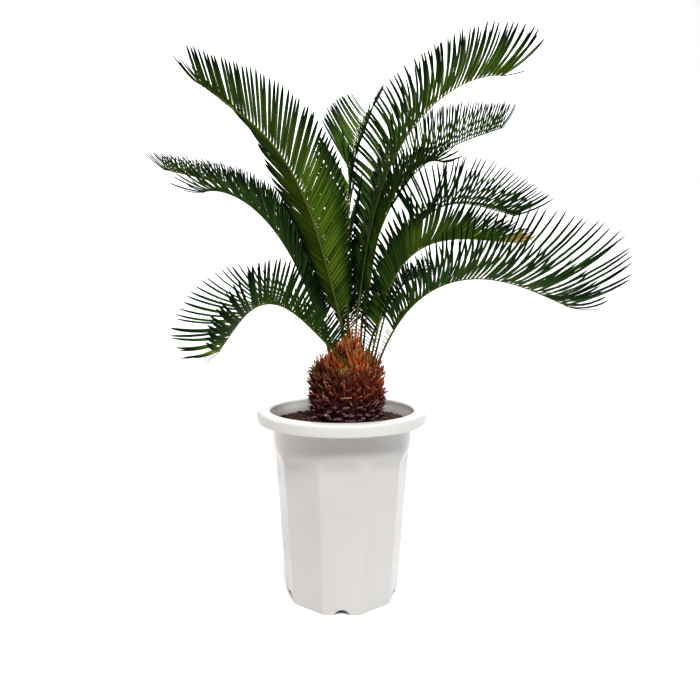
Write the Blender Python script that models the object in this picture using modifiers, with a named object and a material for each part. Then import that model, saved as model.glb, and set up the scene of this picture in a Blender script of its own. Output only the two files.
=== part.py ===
"""Potted sago palm: a white plastic pot with soil, a scaly trunk, an orange crown and arching fronds."""

import math
import random
from collections import namedtuple

import bmesh
import bpy
import numpy as np

# Driving dimensions, in metres. The pot's axis is the Z axis and its foot stands on z = 0.
POT_HEIGHT = 0.275
RIM_RADIUS = 0.125
RIM_DEPTH = 0.017
RIM_ROUNDING = 0.004
RIM_TAPER = 0.0005
RIM_EDGE = 0.002
LIP_ROUNDING = 0.003
MOUTH_RADIUS = 0.1055
BODY_TOP_RADIUS = 0.1030
BODY_FOOT_RADIUS = 0.0840
WALL = 0.0022
FLOOR_UNDERSIDE = 0.010
FLOOR = 0.0025
FLOOR_RING = 0.050
FOOT_RING_WIDTH = 0.0035
FOOT_ROUNDING = 0.0008
FOOT_BAND = 0.004
FACETS = 10
FACETS_END = 0.211
COLLAR_START = 0.226
NOTCHES = 5
NOTCH_WIDTH = 0.022
NOTCH_HEIGHT = 0.0075
NOTCH_SIDES = 32
DRAIN_RADIUS = 0.006
DRAIN_CIRCLE = 0.045
DRAIN_SIDES = 12
# The drain holes are turned so that no corner of them meets an edge of the floor.
DRAIN_TURN = 0.2
POT_STEPS = 40
SHARP_ANGLE = math.radians(30)

# Gap between pieces that touch.
GAP = 0.0003

SOIL_LEVEL = 0.2585
SOIL_DIP = 0.004
SOIL_CRUMBS = 0.0018
SOIL_RINGS = (0.030, 0.048, 0.058, 0.067, 0.076, 0.085, 0.092)
SOIL_SEED = 4

# The trunk stands a little to the right of the pot's axis.
TRUNK_X = 0.008
TRUNK_FOOT = 0.195
TRUNK_PEG_RADIUS = 0.0455
TRUNK_PROFILE = ((0.2610, 0.0485), (0.2780, 0.0520), (0.3050, 0.0515), (0.3240, 0.0500), (0.3347, 0.0470))
TRUNK_SIDES = 20
TRUNK_ROWS = 13
TRUNK_SEED = 11
HOLE_DEPTH = 0.1
# The stubs of old leaves: how far they reach and rise, and what is added at the middle and at the top.
STUB_REACH = 0.0060
STUB_MIDDLE_REACH = 0.0025
STUB_RISE = 0.0010
STUB_TOP_RISE = 0.0110
STUB_ASIDE = 0.0012

CROWN_PROFILE = ((0.3350, 0.0455), (0.3440, 0.0400), (0.3560, 0.0300), (0.3720, 0.0180), (0.3860, 0.0090))
CROWN_SIDES = 14
CROWN_ROWS = 9
CROWN_TIP = 0.398
CROWN_SEED = 7
SCALE_REACH = 0.0032
SCALE_RISE = 0.012
SCALE_TOP_RISE = 0.004
SCALE_ASIDE = 0.0010

# Each frond becomes an object named frond_NAME. Its heading is in degrees, 0 to the right and 90 to the back.
# Its stem starts in the crown at right, back and up, which are measured from the trunk's axis and from the
# ground. It leaves at the angle rise above level and ends at the angle finish. It bends later along its length
# the larger bend is, and over a shorter stretch the larger settle is. Its leaflets stand pitch apart. They lean
# forward from across the stem by lean at the frond's foot and by close at its tip. They are raised above the
# frond's own plane by lift at the foot and by lift_end at the tip, less roll and roll_end on its right and more
# on its left. They reach their full length at the share full of the leafy stretch, and are shorter than that by
# the share fade at the tip.
Leaflets = namedtuple("Leaflets", "length lean close lift lift_end roll roll_end full fade pitch")
Frond = namedtuple("Frond", "name heading right back up length rise finish bend settle leaflets")
FRONDS = (
    Frond(
        "upper_left", 226, 0.006, -0.030, 0.342, 0.431, 70.5, 18.3, 4.5, 3.67,
        Leaflets(0.083, 38, 53, 36, 60, 30, 0, 0.45, 0.52, 0.0054),
    ),
    Frond(
        "upper_right", -20, 0.008, -0.012, 0.352, 0.466, 84, -14, 2.6, 0.8,
        Leaflets(0.100, 25, 34, 31, 50, 44, 16, 0.62, 0.22, 0.0056),
    ),
    Frond(
        "lower_right", -36, 0.042, -0.018, 0.339, 0.325, 65, -25, 1.9, 2.4,
        Leaflets(0.120, 31, 42, 60, 60, 29, 29, 0.80, 0.42, 0.0056),
    ),
    Frond(
        "lower_left", 228, 0.005, -0.036, 0.338, 0.273, 37.3, -48.7, 5.85, 6.7,
        Leaflets(0.084, 20, 24, 60, 26, -10, 26, 0.85, 0.50, 0.0044),
    ),
    Frond(
        "right", -10, 0.032, -0.010, 0.339, 0.320, 78, -6, 3.8, 6.0,
        Leaflets(0.082, 26, 58, 45, 45, 0, 0, 0.45, 0.62, 0.0050),
    ),
    Frond(
        "right_back", 16, 0.038, 0.008, 0.339, 0.395, 76, -12, 4.9, 6.0,
        Leaflets(0.088, 14, 46, 56, 56, 6, 6, 0.45, 0.26, 0.0054),
    ),
    Frond(
        "back_centre", 72, 0.002, 0.008, 0.360, 0.405, 95, 36, 2.7, 1.5,
        Leaflets(0.093, 56, 46, 42, 42, -8, -8, 0.45, 0.35, 0.0052),
    ),
    Frond(
        "right_drooping", 14, 0.022, 0.003, 0.346, 0.343, 85, -26, 2.85, 0.5,
        Leaflets(0.070, 34, 60, 45, 45, 0, 0, 0.45, 0.50, 0.0054),
    ),
    Frond(
        "upper_right_back", 34, 0.018, 0.017, 0.350, 0.537, 85, 21, 2.2, 3.2,
        Leaflets(0.086, 16, 49, 74, 76, 8, 8, 0.45, 0.40, 0.0060),
    ),
    Frond(
        "left_drooping", 170, -0.021, -0.007, 0.343, 0.341, 72, -27, 2.1, 0.5,
        Leaflets(0.078, 46, 54, 42, 42, 0, 0, 0.45, 0.30, 0.0052),
    ),
    Frond(
        "middle_left", 152, -0.016, 0.008, 0.345, 0.489, 69.8, 14.7, 2.65, 3.58,
        Leaflets(0.064, 46, 50, 46, 50, 0, 0, 0.45, 0.24, 0.0056),
    ),
    Frond(
        "back_left", 118, -0.006, 0.020, 0.348, 0.310, 88, 25, 1.3, 1.0,
        Leaflets(0.070, 36, 68, 45, 45, 0, 0, 0.45, 0.55, 0.0054),
    ),
    Frond(
        "low_back", 92, 0.002, 0.033, 0.340, 0.280, 76, -15, 1.2, 1.0,
        Leaflets(0.075, 30, 68, 42, 42, 0, 0, 0.45, 0.55, 0.0054),
    ),
    Frond(
        "low_back_right", 50, 0.028, 0.024, 0.339, 0.230, 72, 0, 1.2, 1.0,
        Leaflets(0.068, 30, 64, 42, 42, 0, 0, 0.45, 0.50, 0.0054),
    ),
)
BARE_STEM = 0.18
BARE_RINGS = 5
# How late along a frond its leaflets close towards the stem, and how late their lift and roll change.
TIP_CLOSING = 2.2
TIP_LIFTING = 1.8
FOOT_LEAFLET = 0.42
STEM_STEPS = 96
STEM_HALF_WIDTH = 0.0042
STEM_TAPER = 0.72
# The height of the stem's upper edge and the depth of its lower one, as shares of its half width.
STEM_UPPER = 0.5
STEM_LOWER = 0.85
# The last leaflet's reach, as a share of the others', and its rise over the stem's end.
TIP_SPIKE = 0.3
TIP_RISE = 0.35
BLADE_REACH = 0.0036
BLADE_TIP = 0.0003
BLADE_MARGIN = 0.0006
# A leaflet that would meet another frond folds forward in steps, and then shortens.
FOLD_STEPS = 10
FOLDED_LEAN = 86
FOLDED_LIFT = 80
FOLDED_SHORTER = 0.45
SHORTENING = 0.8
SHORTEST_LEAFLET = 0.004
# The sockets in the crown and the trunk follow the stems from a little before their start.
SOCKET_START = 0.0012
SOCKET_STEP = 0.006
SOCKET_RINGS = 18
SOCKET_EXTRA = 1.4 * GAP
ROOM_STEPS = 24

LINES = {}


def world_collection(name):
    """A new collection, linked to the scene."""
    made = bpy.data.collections.new(name)
    bpy.context.scene.collection.children.link(made)
    return made


def clear_scene():
    """Removes every object of the scene."""
    for old in list(bpy.data.objects):
        bpy.data.objects.remove(old, do_unlink=True)


def material(name, colour, roughness):
    """A Principled material with a plain colour."""
    made = bpy.data.materials.new(name)
    made.use_nodes = True
    shader = made.node_tree.nodes["Principled BSDF"]
    shader.inputs["Base Color"].default_value = (*colour, 1.0)
    shader.inputs["Roughness"].default_value = roughness
    shader.inputs["Metallic"].default_value = 0.0
    return made


def mesh_object(name, points, faces, collection, finish=None):
    """An object made from points and faces."""
    mesh = bpy.data.meshes.new(name)
    mesh.from_pydata([tuple(map(float, p)) for p in points], [], faces)
    mesh.update()
    made = bpy.data.objects.new(name, mesh)
    collection.objects.link(made)
    if finish:
        mesh.materials.append(finish)
    return made


def evaluated_mesh(obj):
    """The object's mesh with its modifiers applied."""
    bpy.context.view_layer.update()
    graph = bpy.context.evaluated_depsgraph_get()
    return bpy.data.meshes.new_from_object(obj.evaluated_get(graph))


def turned(name, profile, collection, finish, steps=POT_STEPS):
    """A profile of (radius, height) points turned round the Z axis and kept as a mesh."""
    edges = [(i, i + 1) for i in range(len(profile) - 1)]
    mesh = bpy.data.meshes.new(name)
    mesh.from_pydata([(r, 0.0, z) for r, z in profile], edges, [])
    made = bpy.data.objects.new(name, mesh)
    collection.objects.link(made)
    screw = made.modifiers.new("Turn", "SCREW")
    screw.steps = steps
    screw.render_steps = steps
    screw.use_merge_vertices = True
    screw.merge_threshold = 0.00001
    made.data = evaluated_mesh(made)
    made.modifiers.clear()
    made.data.materials.clear()
    made.data.materials.append(finish)
    return made


def cut(target, cutters):
    """Takes the cutters' volume out of the target."""
    for cutter in cutters:
        boolean = target.modifiers.new("Cut " + cutter.name, "BOOLEAN")
        boolean.operation = "DIFFERENCE"
        boolean.object = cutter


def cutter_cylinder(name, radius, depth, centre, rotation, sides, collection):
    """A cylinder that only cuts."""
    bpy.ops.mesh.primitive_cylinder_add(
        vertices=sides, radius=radius, depth=depth, location=centre, rotation=rotation
    )
    made = bpy.context.object
    made.name = name
    for home in list(made.users_collection):
        home.objects.unlink(made)
    collection.objects.link(made)
    made.hide_render = True
    made.display_type = "WIRE"
    return made


def smooth_step(x):
    """Rises smoothly from 0 at x = 0 to 1 at x = 1."""
    x = min(max(x, 0.0), 1.0)
    return x * x * (3 - 2 * x)


def facet_factor(angle, height):
    """How far the pot's round section is drawn in at an angle and height, to leave flat facets."""
    half = math.pi / FACETS
    offset = (angle + math.pi / 2 + half) % (2 * half) - half
    flat = math.cos(half) / math.cos(offset)
    share = 1 - smooth_step((height - FACETS_END) / (COLLAR_START - FACETS_END))
    return 1 - share * (1 - flat)


def flatten_facets(mesh):
    """Draws a turned mesh in so that its lower body has flat facets, in triangles."""
    work = bmesh.new()
    work.from_mesh(mesh)
    bmesh.ops.remove_doubles(work, verts=work.verts, dist=0.00001)
    for vertex in work.verts:
        x, y, z = vertex.co
        factor = facet_factor(math.atan2(y, x), z)
        vertex.co = (x * factor, y * factor, z)
    bmesh.ops.triangulate(work, faces=work.faces)
    work.to_mesh(mesh)
    work.free()


def shade_smooth(mesh):
    """Shades a mesh smooth, except at its sharp edges."""
    mesh.shade_smooth()
    mesh.set_sharp_from_angle(angle=SHARP_ANGLE)


def body_radius(height):
    """The radius of the pot's body outside, at its corners."""
    top = POT_HEIGHT - RIM_DEPTH
    return BODY_FOOT_RADIUS + (BODY_TOP_RADIUS - BODY_FOOT_RADIUS) * height / top


def make_pot(collection, cutters, finish):
    """The pot: a faceted body with a rolled rim, a raised floor with drain holes and a notched foot."""
    floor_top = FLOOR_UNDERSIDE + FLOOR
    rim_foot = POT_HEIGHT - RIM_DEPTH
    bead = RIM_ROUNDING
    soft = 0.3 * bead
    foot_inside = BODY_FOOT_RADIUS - FOOT_RING_WIDTH
    profile = [(0.0, floor_top), (FLOOR_RING, floor_top)]
    profile += [(body_radius(z) - WALL, z) for z in (floor_top, FACETS_END, COLLAR_START, rim_foot + bead)]
    profile += [
        (MOUTH_RADIUS, POT_HEIGHT - LIP_ROUNDING),
        (MOUTH_RADIUS + LIP_ROUNDING, POT_HEIGHT),
        (RIM_RADIUS - bead, POT_HEIGHT),
        (RIM_RADIUS - soft, POT_HEIGHT - soft),
        (RIM_RADIUS, POT_HEIGHT - bead),
        (RIM_RADIUS - RIM_TAPER, rim_foot + RIM_EDGE),
        (RIM_RADIUS - RIM_EDGE, rim_foot),
    ]
    profile += [(body_radius(z), z) for z in (rim_foot, COLLAR_START, FACETS_END, FOOT_BAND)]
    profile += [
        (BODY_FOOT_RADIUS - FOOT_ROUNDING, 0.0),
        (foot_inside, 0.0),
        (foot_inside, FLOOR_UNDERSIDE),
        (FLOOR_RING, FLOOR_UNDERSIDE),
        (0.0, FLOOR_UNDERSIDE),
    ]
    pot = turned("pot", profile, collection, finish)
    flatten_facets(pot.data)
    shade_smooth(pot.data)
    radius = ((NOTCH_WIDTH / 2) ** 2 + NOTCH_HEIGHT**2) / (2 * NOTCH_HEIGHT)
    holes = []
    for i in range(NOTCHES):
        angle = -math.pi / 2 + i * 2 * math.pi / NOTCHES
        out = (math.cos(angle), math.sin(angle))
        centre = (BODY_FOOT_RADIUS * out[0], BODY_FOOT_RADIUS * out[1], NOTCH_HEIGHT - radius)
        turn = (0.0, math.pi / 2, angle)
        depth = 8 * FOOT_RING_WIDTH
        holes.append(cutter_cylinder(f"notch_{i}", radius, depth, centre, turn, NOTCH_SIDES, cutters))
        centre = (DRAIN_CIRCLE * out[0], DRAIN_CIRCLE * out[1], FLOOR_UNDERSIDE)
        turn = (0, 0, angle + DRAIN_TURN)
        depth = 8 * FLOOR
        holes.append(cutter_cylinder(f"drain_{i}", DRAIN_RADIUS, depth, centre, turn, DRAIN_SIDES, cutters))
    cut(pot, holes)
    return pot


def make_soil(collection, cutters, finish):
    """The soil that fills the pot, with a crumbly top and a plain hole that the trunk stands in."""
    floor = FLOOR_UNDERSIDE + FLOOR + GAP
    edge = body_radius(SOIL_LEVEL) - WALL - GAP
    top = [(r, SOIL_LEVEL - SOIL_DIP * (r / edge) ** 4) for r in SOIL_RINGS]
    heights = (SOIL_LEVEL - SOIL_DIP, COLLAR_START, FACETS_END, floor)
    wall = [(body_radius(z) - WALL - GAP, z) for z in heights]
    profile = [(0.0, SOIL_LEVEL)] + top + wall + [(FLOOR_RING, floor), (0.0, floor)]
    soil = turned("soil", profile, collection, finish)
    flatten_facets(soil.data)
    rng = random.Random(SOIL_SEED)
    for vertex in soil.data.vertices:
        x, y, z = vertex.co
        if z > SOIL_LEVEL - SOIL_DIP and math.hypot(x, y) < SOIL_RINGS[-1] + 0.001:
            vertex.co.z += rng.uniform(-SOIL_CRUMBS, SOIL_CRUMBS)
    centre = (TRUNK_X, 0.0, TRUNK_FOOT - GAP + HOLE_DEPTH / 2)
    radius = TRUNK_PEG_RADIUS + GAP
    hole = cutter_cylinder("trunk_hole", radius, HOLE_DEPTH, centre, (0, 0, 0), TRUNK_SIDES, cutters)
    cut(soil, [hole])
    return soil


def ring(radius, height, sides, stagger):
    """Points of a level ring round the trunk's axis, turned by half a side where stagger is 1."""
    turns = [2 * math.pi * (i + stagger / 2) / sides for i in range(sides)]
    return [(TRUNK_X + radius * math.cos(a), radius * math.sin(a), height) for a in turns]


def scaly_faces(points, sides, rows, spike):
    """Raises a spike on each diamond of a lattice of staggered rings. spike gives its reach, rise and aside."""

    def corner(row, i):
        return row * sides + i % sides

    faces = [(corner(0, i), corner(0, i + 1), corner(1, i)) for i in range(sides)]
    for row in range(rows - 2):
        odd = row % 2
        for i in range(sides):
            low, high = corner(row, i), corner(row + 2, i)
            left, right = corner(row + 1, i - 1 + odd), corner(row + 1, i + odd)
            centre = np.mean([points[k] for k in (low, high, left, right)], axis=0)
            out = np.array([centre[0] - TRUNK_X, centre[1], 0.0])
            out /= np.linalg.norm(out)
            reach, rise, aside = spike(row / (rows - 3))
            across = np.array([-out[1], out[0], 0.0])
            tip = centre + out * reach + across * aside + np.array([0.0, 0.0, rise])
            points.append(tuple(tip))
            apex = len(points) - 1
            faces += [(low, right, apex), (right, high, apex), (high, left, apex), (left, low, apex)]
    last = rows - 1
    odd = last % 2
    for i in range(sides):
        faces.append((corner(last - 1, i + odd), corner(last, i + 1), corner(last, i)))
    return faces


def lattice(profile, sides, rows):
    """The points of staggered rings up a profile of (height, radius) points."""
    heights = np.linspace(profile[0][0], profile[-1][0], rows)
    radii = np.interp(heights, [p[0] for p in profile], [p[1] for p in profile])
    points = []
    for row in range(rows):
        points += ring(radii[row], heights[row], sides, row % 2)
    return points


def make_trunk(collection, finish):
    """The trunk: a barrel covered in the dry stubs of old leaves, on a plain foot that is in the soil."""
    rng = random.Random(TRUNK_SEED)

    def stub(share):
        size = rng.uniform(0.7, 1.25)
        reach = (STUB_REACH + STUB_MIDDLE_REACH * math.sin(math.pi * share)) * size
        rise = (STUB_RISE + STUB_TOP_RISE * share**1.3) * size
        return reach, rise, rng.uniform(-STUB_ASIDE, STUB_ASIDE)

    sides, rows = TRUNK_SIDES, TRUNK_ROWS
    points = lattice(TRUNK_PROFILE, sides, rows)
    faces = scaly_faces(points, sides, rows, stub)
    top_row = (rows - 1) * sides
    top = len(points)
    points.append((TRUNK_X, 0.0, TRUNK_PROFILE[-1][0]))
    faces += [(top_row + i, top_row + (i + 1) % sides, top) for i in range(sides)]
    neck = len(points)
    points += ring(TRUNK_PEG_RADIUS, SOIL_LEVEL + SOIL_CRUMBS + GAP, sides, 0)
    foot = len(points)
    points += ring(TRUNK_PEG_RADIUS, TRUNK_FOOT, sides, 0)
    base = len(points)
    points.append((TRUNK_X, 0.0, TRUNK_FOOT))
    for i in range(sides):
        j = (i + 1) % sides
        faces += [(neck + i, neck + j, j, i), (foot + i, foot + j, neck + j, neck + i)]
        faces.append((foot + j, foot + i, base))
    return mesh_object("trunk", points, faces, collection, finish)


def make_crown(collection, finish):
    """The crown: a cone of pointed orange scales."""
    rng = random.Random(CROWN_SEED)

    def scale(share):
        size = rng.uniform(0.75, 1.25)
        rise = (SCALE_RISE + SCALE_TOP_RISE * share) * size
        return SCALE_REACH * size, rise, rng.uniform(-SCALE_ASIDE, SCALE_ASIDE)

    sides, rows = CROWN_SIDES, CROWN_ROWS
    points = lattice(CROWN_PROFILE, sides, rows)
    faces = scaly_faces(points, sides, rows, scale)
    top_row = (rows - 1) * sides
    tip = len(points)
    points.append((TRUNK_X, 0.0, CROWN_TIP))
    base = len(points)
    points.append((TRUNK_X, 0.0, CROWN_PROFILE[0][0]))
    for i in range(sides):
        j = (i + 1) % sides
        faces += [(top_row + i, top_row + j, tip), (j, i, base)]
    return mesh_object("crown", points, faces, collection, finish)


def make_sockets(targets, cutters):
    """Cuts a socket in the crown and the trunk where each frond's stem comes out."""
    sockets = []
    for frond in FRONDS:
        places = [-SOCKET_START] + [SOCKET_STEP * k for k in range(1, SOCKET_RINGS)]
        rings = [stem_ring(frond, place / frond.length, SOCKET_EXTRA) for place in places]
        socket = mesh_object(f"socket_{frond.name}", *tube(rings), cutters)
        socket.hide_render = True
        socket.display_type = "WIRE"
        sockets.append(socket)
    for target in targets:
        cut(target, sockets)
        target.data = evaluated_mesh(target)
        target.modifiers.clear()
        keep_largest(target.data)


def keep_largest(mesh):
    """Drops the loose scraps of a mesh."""
    work = bmesh.new()
    work.from_mesh(mesh)
    left = set(work.verts)
    islands = []
    while left:
        found = {left.pop()}
        edge = list(found)
        while edge:
            vertex = edge.pop()
            for link in vertex.link_edges:
                other = link.other_vert(vertex)
                if other in left:
                    left.discard(other)
                    found.add(other)
                    edge.append(other)
        islands.append(found)
    islands.sort(key=len)
    scraps = [v for island in islands[:-1] for v in island]
    bmesh.ops.delete(work, geom=scraps, context="VERTS")
    work.to_mesh(mesh)
    work.free()


def stem_frame(frond, share):
    """The stem's forward, side and upper directions at a share of its length."""
    held = min(max(share, 0.0), 1.0)
    bent = 1 - (1 - held**frond.bend) ** frond.settle
    rise = math.radians(frond.rise + (frond.finish - frond.rise) * bent)
    heading = math.radians(frond.heading)
    level = math.cos(rise)
    forward = np.array([level * math.cos(heading), level * math.sin(heading), math.sin(rise)])
    side = np.array([math.sin(heading), -math.cos(heading), 0.0])
    return forward, side, np.cross(side, forward)


def stem_root(frond):
    """The point in the crown where a frond's stem starts."""
    return np.array([TRUNK_X + frond.right, frond.back, frond.up])


def stem_point(frond, share):
    """The stem's middle at a share of its length, which may lie a little before its start."""
    if share <= 0:
        return stem_root(frond) + stem_frame(frond, 0)[0] * share * frond.length
    line = stem_line(frond)
    place = share * (len(line) - 1)
    return np.array([np.interp(place, np.arange(len(line)), line[:, k]) for k in range(3)])


def stem_line(frond):
    """Points along the stem, worked out once for each frond."""
    if frond.name not in LINES:
        shares = (np.arange(STEM_STEPS) + 0.5) / STEM_STEPS
        steps = [stem_frame(frond, s)[0] * frond.length / STEM_STEPS for s in shares]
        LINES[frond.name] = stem_root(frond) + np.vstack([np.zeros(3), np.cumsum(steps, axis=0)])
    return LINES[frond.name]


def stem_ring(frond, share, extra=0.0):
    """The stem's section at a share of its length: upper edge, right, lower edge and left."""
    _, side, upper = stem_frame(frond, share)
    middle = stem_point(frond, share)
    half = STEM_HALF_WIDTH * (1 - STEM_TAPER * min(max(share, 0.0), 1.0))
    wide, high, low = half + extra, STEM_UPPER * half + extra, STEM_LOWER * half + extra
    return [middle + upper * high, middle + side * wide, middle - upper * low, middle - side * wide]


def tube(rings):
    """Points and faces of a closed tube through rings of four points."""
    points = [p for one in rings for p in one]
    faces = [(3, 2, 1, 0)]
    for k in range(len(rings) - 1):
        a = 4 * k
        faces += [(a + i, a + (i + 1) % 4, a + 4 + (i + 1) % 4, a + 4 + i) for i in range(4)]
    last = 4 * (len(rings) - 1)
    faces.append((last, last + 1, last + 2, last + 3))
    return points, faces


def closest(start, end, starts, ends):
    """The shares along one segment and along many others where each pair comes closest, and how near."""
    d1 = end - start
    d2 = ends - starts
    r = start - starts
    a = d1 @ d1
    e = np.einsum("ij,ij->i", d2, d2)
    f = np.einsum("ij,ij->i", d2, r)
    c = r @ d1
    b = d2 @ d1
    spread = np.maximum(a * e - b * b, 1e-12)
    s = np.clip((b * f - c * e) / spread, 0, 1)
    t = np.clip((b * s + f) / e, 0, 1)
    s = np.clip((b * t - c) / a, 0, 1)
    apart = r + s[:, None] * d1 - t[:, None] * d2
    return s, t, np.linalg.norm(apart, axis=1)


class Room:
    """The stems and leaflets already placed, as segments that narrow from a root to a tip."""

    def __init__(self):
        self.owners, self.starts, self.ends, self.root_sizes, self.tip_sizes = [], [], [], [], []

    def add(self, owner, start, end, root_size, tip_size):
        self.owners.append(owner)
        self.starts.append(start)
        self.ends.append(end)
        self.root_sizes.append(root_size)
        self.tip_sizes.append(tip_size)

    def space(self, owner, start, end, root_size, tip_size):
        """The least room between a new segment and those of other fronds."""
        others = np.array([name != owner for name in self.owners])
        starts, ends = np.array(self.starts)[others], np.array(self.ends)[others]
        roots, tips = np.array(self.root_sizes)[others], np.array(self.tip_sizes)[others]
        s, t, apart = closest(start, end, starts, ends)
        return float(np.min(apart - root_size * (1 - s) - tip_size * s - roots * (1 - t) - tips * t))


def leaflet_length(frond, along):
    """A leaflet's length at a share of the leafy stretch: short at its foot, full, then shorter."""
    leaflets = frond.leaflets
    growth = FOOT_LEAFLET + (1 - FOOT_LEAFLET) * smooth_step(along / leaflets.full)
    past = max(along - leaflets.full, 0.0) / (1 - leaflets.full)
    return leaflets.length * growth * (1 - leaflets.fade * past**1.5)


def leaflet_tip(frond, share, along, hand, root, fold):
    """Where a leaflet ends. fold closes it towards the stem, from 0, spread, to 1."""
    forward, side, upper = stem_frame(frond, share)
    leaflets = frond.leaflets
    lean = leaflets.lean + (leaflets.close - leaflets.lean) * along**TIP_CLOSING
    lean = math.radians(lean + (FOLDED_LEAN - lean) * fold)
    late = along**TIP_LIFTING
    lift = leaflets.lift + (leaflets.lift_end - leaflets.lift) * late
    lift -= (leaflets.roll + (leaflets.roll_end - leaflets.roll) * late) * hand
    lift = math.radians(lift + (FOLDED_LIFT - lift) * fold)
    out = side * hand * math.cos(lift) + upper * math.sin(lift)
    length = leaflet_length(frond, along) * (1 - FOLDED_SHORTER * fold)
    return root + (out * math.cos(lean) + forward * math.sin(lean)) * length


def place_leaflet(frond, share, along, hand, root, room):
    """Folds a leaflet forward until it is clear of the other fronds, and returns its tip."""
    best, tip = -1.0, None
    for step in range(FOLD_STEPS + 1):
        trial = leaflet_tip(frond, share, along, hand, root, step / FOLD_STEPS)
        free = room.space(frond.name, root, trial, BLADE_REACH, BLADE_TIP)
        if free > best:
            best, tip = free, trial
        if free > BLADE_MARGIN:
            break
    while best <= 0 and np.linalg.norm(tip - root) > SHORTEST_LEAFLET:
        tip = root + (tip - root) * SHORTENING
        best = room.space(frond.name, root, tip, BLADE_REACH, BLADE_TIP)
    room.add(frond.name, root, tip, BLADE_REACH, BLADE_TIP)
    return tip


def make_frond(frond, room, collection, finish):
    """A frond: a tapering stem with two rows of narrow pointed leaflets, raised from its upper sides."""
    bare = [BARE_STEM * k / BARE_RINGS for k in range(BARE_RINGS)]
    pairs = round((1 - BARE_STEM) * frond.length / frond.leaflets.pitch)
    leafy = [BARE_STEM + (1 - BARE_STEM) * k / pairs for k in range(pairs + 1)]
    rings = [stem_ring(frond, share) for share in bare + leafy]
    points, faces = tube(rings)
    faces = faces[: 1 + 4 * len(bare)]
    for k in range(pairs):
        along = (k + 0.5) / pairs
        share = (leafy[k] + leafy[k + 1]) / 2
        a = 4 * (len(bare) + k)
        for near, far, hand in ((0, 1, 1), (3, 0, -1)):
            corners = [a + near, a + far, a + 4 + far, a + 4 + near]
            root = np.mean([points[c] for c in corners], axis=0)
            points.append(place_leaflet(frond, share, along, hand, root, room))
            apex = len(points) - 1
            faces += [(corners[i], corners[(i + 1) % 4], apex) for i in range(4)]
        faces += [(a + 1, a + 2, a + 6, a + 5), (a + 2, a + 3, a + 7, a + 6)]
    last = 4 * (len(bare) + pairs)
    forward, _, upper = stem_frame(frond, 1.0)
    points.append(stem_point(frond, 1.0) + (forward + upper * TIP_RISE) * TIP_SPIKE * frond.leaflets.length)
    apex = len(points) - 1
    faces += [(last + i, last + (i + 1) % 4, apex) for i in range(4)]
    return mesh_object(f"frond_{frond.name}", points, faces, collection, finish)


def main():
    """Builds the plant and its pot."""
    clear_scene()
    plant = world_collection("potted_sago_palm")
    cutters = world_collection("cutters")
    cutters.hide_render = True
    make_pot(plant, cutters, material("white_plastic", (0.80, 0.79, 0.79), 0.30))
    make_soil(plant, cutters, material("dark_soil", (0.030, 0.019, 0.014), 0.95))
    trunk = make_trunk(plant, material("dry_bark", (0.085, 0.040, 0.026), 0.85))
    crown = make_crown(plant, material("orange_scales", (0.42, 0.14, 0.045), 0.80))
    make_sockets([trunk, crown], cutters)
    leaf = material("green_leaflets", (0.030, 0.105, 0.018), 0.42)
    room = Room()
    for frond in FRONDS:
        line = stem_line(frond)[:: STEM_STEPS // ROOM_STEPS]
        for start, end in zip(line[:-1], line[1:]):
            room.add(frond.name, start, end, STEM_HALF_WIDTH, STEM_HALF_WIDTH)
    for frond in FRONDS:
        make_frond(frond, room, plant, leaf)


main()
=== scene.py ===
"""Potted sago palm: the detailed pot, soil, trunk, crown and fronds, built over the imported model."""

import math
import random
from collections import defaultdict, namedtuple

import bmesh
import bpy
import numpy as np
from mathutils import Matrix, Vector, noise


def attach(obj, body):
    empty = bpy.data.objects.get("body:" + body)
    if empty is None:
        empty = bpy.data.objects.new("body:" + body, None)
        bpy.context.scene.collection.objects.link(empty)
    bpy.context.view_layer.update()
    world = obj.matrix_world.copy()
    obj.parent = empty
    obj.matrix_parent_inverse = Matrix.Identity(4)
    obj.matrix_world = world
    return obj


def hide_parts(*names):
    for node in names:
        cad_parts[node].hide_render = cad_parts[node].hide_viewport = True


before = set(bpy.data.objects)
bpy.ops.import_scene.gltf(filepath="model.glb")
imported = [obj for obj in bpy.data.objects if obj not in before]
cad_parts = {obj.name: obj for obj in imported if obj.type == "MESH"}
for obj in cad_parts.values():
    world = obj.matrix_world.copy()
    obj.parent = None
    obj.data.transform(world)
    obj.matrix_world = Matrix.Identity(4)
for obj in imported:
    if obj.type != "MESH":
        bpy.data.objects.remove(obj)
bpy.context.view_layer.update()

# Camera: its place in metres, how far it looks down in degrees, its lens and sensor in millimetres, and how
# far its view is shifted to the right, as a share of the view.
CAMERA_PLACE = (0.0, -0.852, 0.430)
CAMERA_PITCH = 4.62
LENS = 29.93
SENSOR = 36.0
SHIFT_RIGHT = 0.0116

# Pot, in metres, as in the CAD model.
POT_HEIGHT = 0.275
RIM_RADIUS = 0.125
RIM_DEPTH = 0.017
MOUTH_RADIUS = 0.1055
BODY_TOP_RADIUS = 0.1030
BODY_FOOT_RADIUS = 0.0840
WALL = 0.0022
FLOOR_UNDERSIDE = 0.010
FLOOR = 0.0025
FOOT_RING_WIDTH = 0.0035
FACETS = 10
FACETS_END = 0.211
COLLAR_START = 0.226
NOTCHES = 5
NOTCH_WIDTH = 0.022
NOTCH_HEIGHT = 0.0075
DRAIN_RADIUS = 0.006
DRAIN_CIRCLE = 0.045

# The pot's finer form: the roundings of its rim inside, outside and below and of its foot, how far the rim
# is drawn in below, how far under the facets' end their arches begin, how soft the facets' corners are, the
# steps round it, and the angle in degrees past which an edge stays sharp.
LIP_ROUNDING = 0.0035
BROW_ROUNDING = 0.0045
HEM_ROUNDING = 0.0022
FOOT_ROUNDING = 0.0010
RIM_DRAFT = 0.0006
ARCH_LEAD = 0.006
FACET_SOFTNESS = 0.010
POT_STEPS = 240
POT_SHARP = 35

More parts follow.
